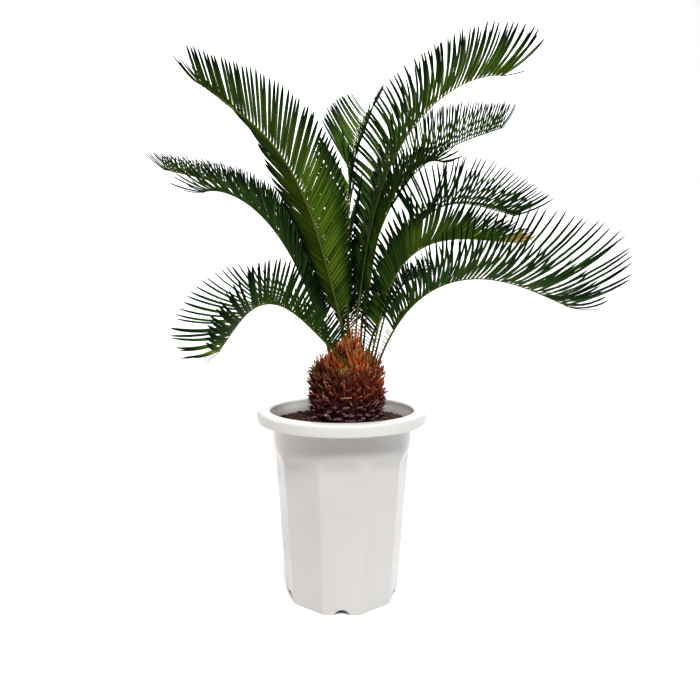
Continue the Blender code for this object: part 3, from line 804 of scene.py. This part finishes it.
def profile_radius(profile, height):
    """The radius of a profile at a height."""
    return float(np.interp(height, [p[0] for p in profile], [p[1] for p in profile]))


def core(shape, profile, sides, steps, shrink, along):
    """The closed round body under the scales. Its along value sets how much of the painted shade at the
    scales' roots it is given.
    """
    points = []
    for z in np.linspace(profile[0][0], profile[-1][0], steps):
        r = profile_radius(profile, z) - shrink
        points += [(TRUNK_X + r * math.cos(a), r * math.sin(a), z) for a in on_ring(sides)]
    faces = tube_faces(steps, sides)
    last = (steps - 1) * sides
    faces.append(tuple(last + i for i in range(sides)))
    shape.add(points, faces, {"tone": 0.35, "along": along, "pale": 0.0})


# A scale's width from its root to its end, as shares of its full width.
BLUNT = (1.0, 1.0, 0.94, 0.88, 0.78, 0.0)
POINTED = (1.0, 0.92, 0.74, 0.50, 0.24, 0.0)
UP = np.array([0.0, 0.0, 1.0])


def spine(
    shape, rng, root, out, lean, curl, length, width, thick, widths, tone,
    twist=0.0, rough=0.0, up=UP, pale=0.0,
):
    """A scale, stub or spike: a flattened horn that leaves at an angle between out and up, and curls."""
    sides = 8 if width > 0.006 else 6 if width > 0.0015 else 4
    across = unit(np.cross(up, out) + out * twist)
    centre = np.array(root, float)
    rings = len(widths) - 1
    step = length / rings
    points, along = [], []
    for k, share in enumerate(widths):
        part = k / rings
        angle = math.radians(lean + curl * part)
        forward = out * math.cos(angle) + up * math.sin(angle)
        normal = unit(np.cross(across, forward))
        if k == rings:
            # A blunt stub ends in a shallow hollow.
            points.append(centre - forward * step * 1.5 if widths is BLUNT else centre)
            along.append(0.35 if widths is BLUNT else 1.0)
            break
        for a in on_ring(sides):
            ca, sa = math.cos(a), math.sin(a)
            wide = math.copysign(abs(ca) ** 0.85, ca) * width / 2 * share
            high = math.copysign(abs(sa) ** 0.85, sa) * thick / 2 * (0.35 + 0.65 * share)
            jitter = 1 + rng.uniform(-rough, rough)
            points.append(centre + across * wide * jitter + normal * high * jitter)
            along.append(part)
        centre = centre + forward * step
    shape.add(points, pointed_faces(rings, sides), {"tone": tone, "along": along, "pale": pale})


def on_profile(profile, angle, height, off):
    """A place on a profile of the trunk, moved off it, and the direction away from the axis there."""
    out = np.array([math.cos(angle), math.sin(angle), 0.0])
    r = profile_radius(profile, max(height, profile[0][0])) + off
    return np.array([TRUNK_X, 0.0, height]) + out * r, out


def trunk_stubs(shape, rng):
    """Stubs of old leaves in spirals, blunt at the foot and pointed and curling higher up."""
    low, high = STUB_HEIGHTS
    for k in range(TRUNK_STUBS):
        share = (k + 0.5) / TRUNK_STUBS
        z = low + (high - low) * share + rng.uniform(-0.0040, 0.0040)
        angle = k * GOLDEN_TURN + rng.uniform(-0.12, 0.12)
        root, out = on_profile(TRUNK_PROFILE, angle, z, -0.0040)
        widths = BLUNT if rng.random() > smooth_step((share - 0.05) / 0.4) else POINTED
        length = (0.0085 + 0.0060 * share) * rng.uniform(0.75, 1.45)
        lean = 6 + 40 * share + rng.uniform(-16, 20)
        curl = rng.uniform(-5, 45) + 15 * share
        width = rng.uniform(0.0062, 0.0098) * (1 - 0.22 * share)
        thick = rng.uniform(0.0036, 0.0058) * (1 - 0.30 * share)
        pale = rng.uniform(0.2, 0.6) if rng.random() < 0.12 else 0.0
        tone = rng.random()
        twist = rng.uniform(-0.45, 0.45)
        spine(shape, rng, root, out, lean, curl, length, width, thick, widths, tone, twist, 0.14, UP, pale)


def trunk_hooks(shape, rng):
    """Thin dark hooks all round."""
    for _ in range(TRUNK_HOOKS):
        share = rng.random() ** 0.7
        root, out = on_profile(TRUNK_PROFILE, rng.uniform(0, FULL_TURN), 0.262 + 0.072 * share, 0.0005)
        lean, curl, length, width = draws(rng, (-5, 45), (-20, 85), (0.007, 0.012), (0.0016, 0.0034))
        lean += 15 * share
        tone = rng.random() ** 1.6
        twist = rng.uniform(-0.8, 0.8)
        spine(shape, rng, root, out, lean, curl, length, width, 0.0012, POINTED, tone, twist)


def shoulder_stubs(shape, rng):
    """Long curling stubs on the left shoulder, many of them pale."""
    for _ in range(SHOULDER_STUBS):
        angle = math.radians(rng.gauss(190, 34))
        root, out = on_profile(TRUNK_PROFILE, angle, rng.uniform(0.310, 0.337), -0.001)
        lean, curl, length, width = draws(rng, (-5, 38), (5, 60), (0.011, 0.0165), (0.0030, 0.0052))
        tone = rng.random()
        twist = rng.uniform(-0.6, 0.6)
        pale = rng.uniform(0.3, 0.95) if rng.random() < 0.6 else 0.0
        spine(shape, rng, root, out, lean, curl, length, width, 0.0018, POINTED, tone, twist, 0.08, UP, pale)


def trunk_fibres(shape, rng):
    """Loose dry fibres: a level and an upright one in front, and small ones all round."""
    right = np.array([1.0, 0.0, 0.0])
    level, upright = (-0.003, -0.0585, 0.2985), (-0.026, -0.0520, 0.2960)
    spine(shape, rng, level, right, 4, 3, 0.021, 0.0030, 0.0012, BLUNT, 0.9, 0, 0.1, pale=1.0)
    spine(shape, rng, upright, UP, 0, 8, 0.014, 0.0028, 0.0012, POINTED, 0.9, 0, 0.1, -right, 0.9)
    for _ in range(TRUNK_FIBRES):
        angle = rng.uniform(0, FULL_TURN)
        root, out = on_profile(TRUNK_PROFILE, angle, rng.uniform(0.266, 0.330), 0.0045)
        along = unit(np.cross(UP, out) * rng.choice((-1, 1)) + UP * rng.uniform(-0.4, 1.6))
        curl, length, width, pale = draws(rng, (-40, 40), (0.005, 0.013), (0.0012, 0.0026), (0.3, 0.9))
        spine(shape, rng, root, along, 0, curl, length, width, 0.0009, POINTED, 0.9, 0, 0.1, out, pale)


def make_trunk(finish):
    """The trunk: a barrel under stubs, hooks and fibres."""
    rng = random.Random(5)
    shape = Shape()
    core(shape, TRUNK_PROFILE, 48, 14, 0.0020, 0.10)
    trunk_stubs(shape, rng)
    trunk_hooks(shape, rng)
    shoulder_stubs(shape, rng)
    trunk_fibres(shape, rng)
    return shape.piece("trunk_fine", finish, "trunk", sharp=60)


def crown_scales(shape, rng):
    """Pointed woolly scales in spirals."""
    low, high = SCALE_HEIGHTS
    for k in range(CROWN_SCALES):
        share = (k + 0.5) / CROWN_SCALES
        z = low + (high - low) * share**1.15
        angle = k * GOLDEN_TURN + rng.uniform(-0.10, 0.10)
        root, out = on_profile(CROWN_PROFILE, angle, z, -0.0015)
        root[0] -= CROWN_LEAN * max(z - CROWN_LEAN_START, 0.0)
        length = rng.uniform(0.006, 0.012) + 0.006 * share
        lean = 60 + 25 * share + rng.uniform(-20, 18)
        width = rng.uniform(0.0032, 0.0068) * (1 - 0.35 * share)
        tone = min(max(rng.gauss(0.36, 0.30), 0.0), 0.90)
        curl, twist = draws(rng, (4, 40), (-0.35, 0.35))
        spine(shape, rng, root, out, lean, curl, length, width, 0.0020, POINTED, tone, twist, 0.06)


def stem_strands(shape, rng):
    """Woolly strands that hug each stem's foot."""
    for stem in STEMS:
        line = stem_line(stem)
        fullness = 0.6 + 0.5 * (stem.strands / 30)
        for _ in range(stem.strands):
            share = rng.uniform(0.0, 0.060)
            forward, side, upper = stem_frame(stem, share)
            around = rng.uniform(0, FULL_TURN)
            out = side * math.cos(around) + upper * math.sin(around)
            root = line[round(share * STEM_STEPS)] + out * STEM_HALF_WIDTH - forward * 0.008
            tone = min(max(rng.gauss(0.50, 0.24), 0.05), 0.90)
            lean, curl, long, width = draws(rng, (78, 90), (-8, 6), (0.016, 0.028), (0.0022, 0.0042))
            twist = rng.uniform(-0.3, 0.3)
            size = (long * fullness, width, 0.0012)
            spine(shape, rng, root, out, lean, curl, *size, POINTED, tone, twist, 0.06, forward)


def crown_tufts(shape, rng):
    """Tufts of upright spikes at the shoulders."""
    for many, middle, spread, long in TUFTS:
        for _ in range(many):
            x, y, z = draws(rng, (-1, 1), (-1, 1), (-1, 1))
            root = np.array(middle) + np.array([x, y, 0.4 * z]) * spread
            out = unit(np.array([root[0] - TRUNK_X, root[1], 0.0]))
            lean, curl, part, width = draws(rng, (62, 98), (-12, 25), (0.6, 1.2), (0.0018, 0.0040))
            tone, twist = draws(rng, (0.25, 0.85), (-0.6, 0.6))
            spine(shape, rng, root, out, lean, curl, long * part, width, 0.0012, POINTED, tone, twist, 0.08)


def crown_fuzz(shape, rng):
    """Ochre fuzz in front."""
    for _ in range(CROWN_FUZZ):
        angle = math.radians(rng.gauss(263, 6))
        root, out = on_profile(CROWN_PROFILE, angle, rng.gauss(0.336, 0.0028), 0.004)
        around = rng.uniform(0, FULL_TURN)
        along = unit(np.cross(UP, out) * math.cos(around) + UP * math.sin(around) + out * 0.25)
        curl, length, width, tone = draws(rng, (-40, 40), (0.004, 0.008), (0.0007, 0.0012), (0.93, 1.0))
        spine(shape, rng, root, along, 0, curl, length, width, 0.0006, POINTED, tone, up=out)


def crown_fibres(shape, rng):
    """Thin loose fibres all round."""
    for _ in range(CROWN_FIBRES):
        share = rng.random()
        root, out = on_profile(CROWN_PROFILE, rng.uniform(0, FULL_TURN), 0.322 + 0.050 * share, 0.0005)
        tone = 1.0 if rng.random() < 0.35 else rng.uniform(0.4, 0.9)
        lean, curl, length, width = draws(rng, (-25, 25), (-30, 50), (0.007, 0.014), (0.0007, 0.0013))
        lean += 40 + 40 * share
        twist = rng.uniform(-0.9, 0.9)
        spine(shape, rng, root, out, lean, curl, length, width, 0.0007, POINTED, tone, twist)


def make_crown(finish):
    """The crown: a cone under scales, strands, tufts, fuzz and fibres."""
    rng = random.Random(9)
    shape = Shape()
    core(shape, CROWN_PROFILE, 36, 12, 0.0015, 0.25)
    crown_scales(shape, rng)
    stem_strands(shape, rng)
    crown_tufts(shape, rng)
    crown_fuzz(shape, rng)
    crown_fibres(shape, rng)
    return shape.piece("crown_fine", finish, "crown", sharp=60)


# Fronds


def stem_frame(stem, share):
    """The stem's forward, side and upper directions at a share of its length."""
    held = min(max(share, 0.0), 1.0)
    bent = 1 - (1 - held**stem.bend) ** stem.settle
    rise = math.radians(stem.rise + (stem.finish - stem.rise) * bent)
    heading = math.radians(stem.heading)
    level = math.cos(rise)
    forward = np.array([level * math.cos(heading), level * math.sin(heading), math.sin(rise)])
    side = np.array([math.sin(heading), -math.cos(heading), 0.0])
    return forward, side, np.cross(side, forward)


def stem_line(stem):
    """Points along the stem's middle."""
    shares = (np.arange(STEM_STEPS) + 0.5) / STEM_STEPS
    steps = [stem_frame(stem, s)[0] * stem.length / STEM_STEPS for s in shares]
    root = np.array([TRUNK_X + stem.right, stem.back, stem.up])
    return root + np.vstack([np.zeros(3), np.cumsum(steps, axis=0)])


def cad_blades(node, line):
    """The root and tip of each blade of a CAD frond, read from its mesh: a tip has four neighbours."""
    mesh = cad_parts[node].data
    flat = np.empty(3 * len(mesh.vertices))
    mesh.vertices.foreach_get("co", flat)
    places, index = np.unique(np.round(flat.reshape(-1, 3), 6), axis=0, return_inverse=True)
    index = index.reshape(-1)
    near = defaultdict(set)
    for face in mesh.polygons:
        corners = [int(index[v]) for v in face.vertices]
        for a, b in zip(corners, corners[1:] + corners[:1]):
            near[a].add(b)
            near[b].add(a)
    blades = []
    for corner, others in near.items():
        if len(others) != 4:
            continue
        if np.min(np.linalg.norm(line - places[corner], axis=1)) < CLEAR_OF_STEM:
            continue
        blades.append((np.mean([places[k] for k in others], axis=0), places[corner]))
    blades.sort(key=lambda blade: tuple(blade[0]))
    return blades


# A blade's width along its length, as (share of the length, share of the width).
BLADE_STEPS = (
    (0.0, 0.50), (0.05, 0.78), (0.15, 0.94), (0.32, 1.0),
    (0.52, 1.0), (0.70, 0.97), (0.84, 0.84), (0.94, 0.54),
)
# A blade's section, as shares of its width: one edge, over the ribbed top, the other edge, and below.
BLADE_SECTION = ((-0.50, -0.10), (-0.26, 0.06), (0.0, 0.015), (0.26, 0.06), (0.50, -0.10), (0.0, -0.085))


def blade(shape, root, tip, along_stem, upper, width, bow, curve, share, tone, age, turn=0.0):
    """A leaflet: a long thin blade whose middle bows down and along the stem, with a sharp point."""
    chord = tip - root
    length = np.linalg.norm(chord)
    forward = chord / length
    across = along_stem - forward * (along_stem @ forward)
    if np.linalg.norm(across) < 0.05:
        across = np.cross(upper, forward)
    across = unit(across)
    normal = np.cross(forward, across)
    if normal @ upper < 0:
        normal = -normal
        across = -across
    ahead = math.copysign(curve, along_stem @ across)
    bulge = across * ahead - normal * bow
    ca, sa = math.cos(turn), math.sin(turn)
    across, normal = across * ca + normal * sa, normal * ca - across * sa
    points, along, edge = [], [], []
    start = root - forward * LEAFLET_SUNK
    for t, narrowing in BLADE_STEPS:
        centre = start + chord * t + bulge * (4 * t * (1 - t) * length)
        across_width = width * narrowing
        high_width = width * max(narrowing, 0.5)
        for wide, high in BLADE_SECTION:
            points.append(centre + across * (wide * across_width) + normal * (high * high_width))
            along.append(t)
            edge.append(abs(wide) * 2)
    points.append(tip)
    along.append(1.0)
    edge.append(1.0)
    faces = pointed_faces(len(BLADE_STEPS), len(BLADE_SECTION))
    # The last two faces round each ring are the underside.
    under = [0.0] + [0.0, 0.0, 0.0, 0.0, 1.0, 1.0] * len(BLADE_STEPS)
    values = {"tone": tone, "along": along, "age": age, "share": share, "stem": 0.0, "edge": edge}
    shape.add(points, faces, values, {"under": under})


def stem_half_width(share):
    """Half the CAD stem's width at a share of its length."""
    return STEM_HALF_WIDTH * (1 - STEM_TAPER * share)


def stem_tube(shape, stem, line):
    """The stem: an oval tube that widens at its foot and tapers to its tip."""
    points, shares = [], []
    rows = range(0, STEM_STEPS + 1, 2)
    for k in rows:
        share = k / STEM_STEPS
        _, side, upper = stem_frame(stem, share)
        half = stem_half_width(share) * STEM_SLIMNESS
        half *= 1 + FOOT_SWELL * math.exp(-share / FOOT_SWELL_REACH)
        for turn in on_ring(STEM_SIDES):
            a = turn + math.pi / STEM_SIDES
            wide = half * math.cos(a)
            high = half * math.sin(a) * (STEM_UPPER if math.sin(a) > 0 else STEM_LOWER)
            points.append(line[k] + side * wide + upper * high)
            shares.append(share)
    points.append(line[-1] + stem_frame(stem, 1.0)[0] * STEM_POINT)
    shares.append(1.0)
    # The second half of the faces round each ring is the underside.
    ring = [0.0] * (STEM_SIDES // 2) + [1.0] * (STEM_SIDES // 2)
    values = {"tone": 0.5, "along": 0.0, "age": 0.0, "share": shares, "stem": 1.0, "edge": 0.0}
    shape.add(points, pointed_faces(len(rows), STEM_SIDES), values, {"under": [0.0] + ring * len(rows)})


def leaflet_age(stem, share, rng):
    """How yellow a leaflet is: its frond's own age, or that of a yellower stretch, with a soft end."""
    age = stem.age
    for name, low, high, amount in YELLOW:
        if name == stem.name:
            begun = smooth_step((share - low) / YELLOW_FADE + 0.5)
            left = smooth_step((high - share) / YELLOW_FADE + 0.5)
            age = max(age, amount * (begun * left))
    return age * rng.uniform(0.75, 1.05)


def add_leaflet(shape, stem, line, root, tip, rng):
    """A leaflet for one blade of the CAD model, with its own width, lean, curve, turn and tone."""
    share = int(np.argmin(np.linalg.norm(line - root, axis=1))) / STEM_STEPS
    forward, side, upper = stem_frame(stem, share)
    if share > 0.995:
        forward = side
    hand = 1 if (tip - root) @ side > 0 else -1
    length = np.linalg.norm(tip - root)
    width = min(stem.width, LEAFLET_WIDTH + LEAFLET_WIDENING * length)
    width = width * (WIDTH_AT_FOOT - WIDTH_LOST * share) * rng.uniform(0.88, 1.08)
    lean = ASTRAY_LEAN if rng.random() < ASTRAY_LEAFLETS else USUAL_LEAN
    tip = tip + rng.uniform(-lean, lean) * length * forward + rng.uniform(-0.02, 0.02) * length * upper
    if (stem.name, hand) in TURNED:
        tip = tip + side * hand * length * rng.uniform(-0.02, 0.11)
    bow = rng.uniform(0.030, 0.055)
    curve = stem.curve * rng.uniform(0.6, 1.3)
    age = leaflet_age(stem, share, rng)
    turn = TURNED.get((stem.name, hand), 0.0) + rng.gauss(0, TURN_SPREAD)
    blade(shape, root, tip, forward, upper, width, bow, curve, share, rng.random(), age, turn)


def stem_spines(shape, stem, line, rng):
    """Pairs of small spines on the bare stretch of a stem, longer higher up."""
    count = max(4, round(BARE_STEM * stem.length / SPINE_SPACING))
    for k in range(count):
        share = BARE_STEM * (0.22 + 0.78 * (k + 0.5) / count)
        middle = line[round(share * STEM_STEPS)]
        forward, side, upper = stem_frame(stem, share)
        half = stem_half_width(share)
        for hand in (-1, 1):
            out = unit(side * hand + upper * 0.5 + forward * rng.uniform(0.3, 0.6))
            root = middle + side * hand * half * 0.6 + upper * half * 0.2
            tip = root + out * ((0.005 + 0.011 * k / count) * rng.uniform(0.8, 1.2))
            blade(shape, root, tip, forward, upper, SPINE_WIDTH, 0.05, 0.0, share, tone=0.1, age=0.0)


def make_frond(stem, finish, number):
    """A frond: its stem, a leaflet for each blade of the CAD model, and its spines."""
    rng = random.Random(100 + number)
    shape = Shape()
    line = stem_line(stem)
    stem_tube(shape, stem, line)
    for root, tip in cad_blades(stem.name, line):
        add_leaflet(shape, stem, line, root, tip, rng)
    stem_spines(shape, stem, line, rng)
    return shape.piece(stem.name + "_fine", finish, stem.name, sharp=55)


# Studio


def make_floor(finish):
    """A pale floor that curves up into the backdrop."""
    near, far, reach, bend, top = -3.0, 1.6, 6.0, 1.2, 5.0
    turns = np.linspace(0.1, math.pi / 2, 16)
    profile = [(near, 0.0), (far, 0.0)]
    profile += [(far + bend * math.sin(a), bend - bend * math.cos(a)) for a in turns]
    profile.append((far + bend, top))
    points = [(x, y, z) for y, z in profile for x in (-reach, reach)]
    faces = [(2 * i, 2 * i + 1, 2 * i + 3, 2 * i + 2) for i in range(len(profile) - 1)]
    mesh = bpy.data.meshes.new("floor")
    mesh.from_pydata(points, [], faces)
    mesh.shade_smooth()
    mesh.materials.append(finish)
    floor = bpy.data.objects.new("floor", mesh)
    STUDIO.objects.link(floor)


def make_light(name, place, target, size, power, colour):
    """A square softbox that points at a target."""
    data = bpy.data.lights.new(name, "AREA")
    data.size = size
    data.energy = power
    data.color = colour
    light = bpy.data.objects.new(name, data)
    light.location = place
    light.rotation_euler = (Vector(target) - Vector(place)).to_track_quat("-Z", "Y").to_euler()
    STUDIO.objects.link(light)


def make_studio():
    """Floor, lights, surroundings and camera."""
    make_floor(studio_material())
    for row in LIGHTS:
        make_light(*row)
    world = bpy.data.worlds.new("surroundings")
    world.use_nodes = True
    back = world.node_tree.nodes["Background"]
    back.inputs["Color"].default_value = (*WHITE, 1.0)
    back.inputs["Strength"].default_value = SURROUNDING_LIGHT
    bpy.context.scene.world = world
    bpy.context.scene.view_settings.view_transform = "Standard"
    data = bpy.data.cameras.new("camera")
    data.lens = LENS
    data.sensor_width = SENSOR
    data.shift_x = SHIFT_RIGHT
    data.clip_start = 0.01
    camera = bpy.data.objects.new("camera", data)
    camera.location = CAMERA_PLACE
    camera.rotation_euler = (math.radians(90 - CAMERA_PITCH), 0.0, 0.0)
    STUDIO.objects.link(camera)
    bpy.context.scene.camera = camera


make_studio()
make_pot(pot_material())
make_soil(soil_material())
make_trunk(bark_material())
make_crown(crown_material())
GREEN = frond_material()
for stem_number, one_stem in enumerate(STEMS):
    make_frond(one_stem, GREEN, stem_number)

bpy.context.view_layer.update()
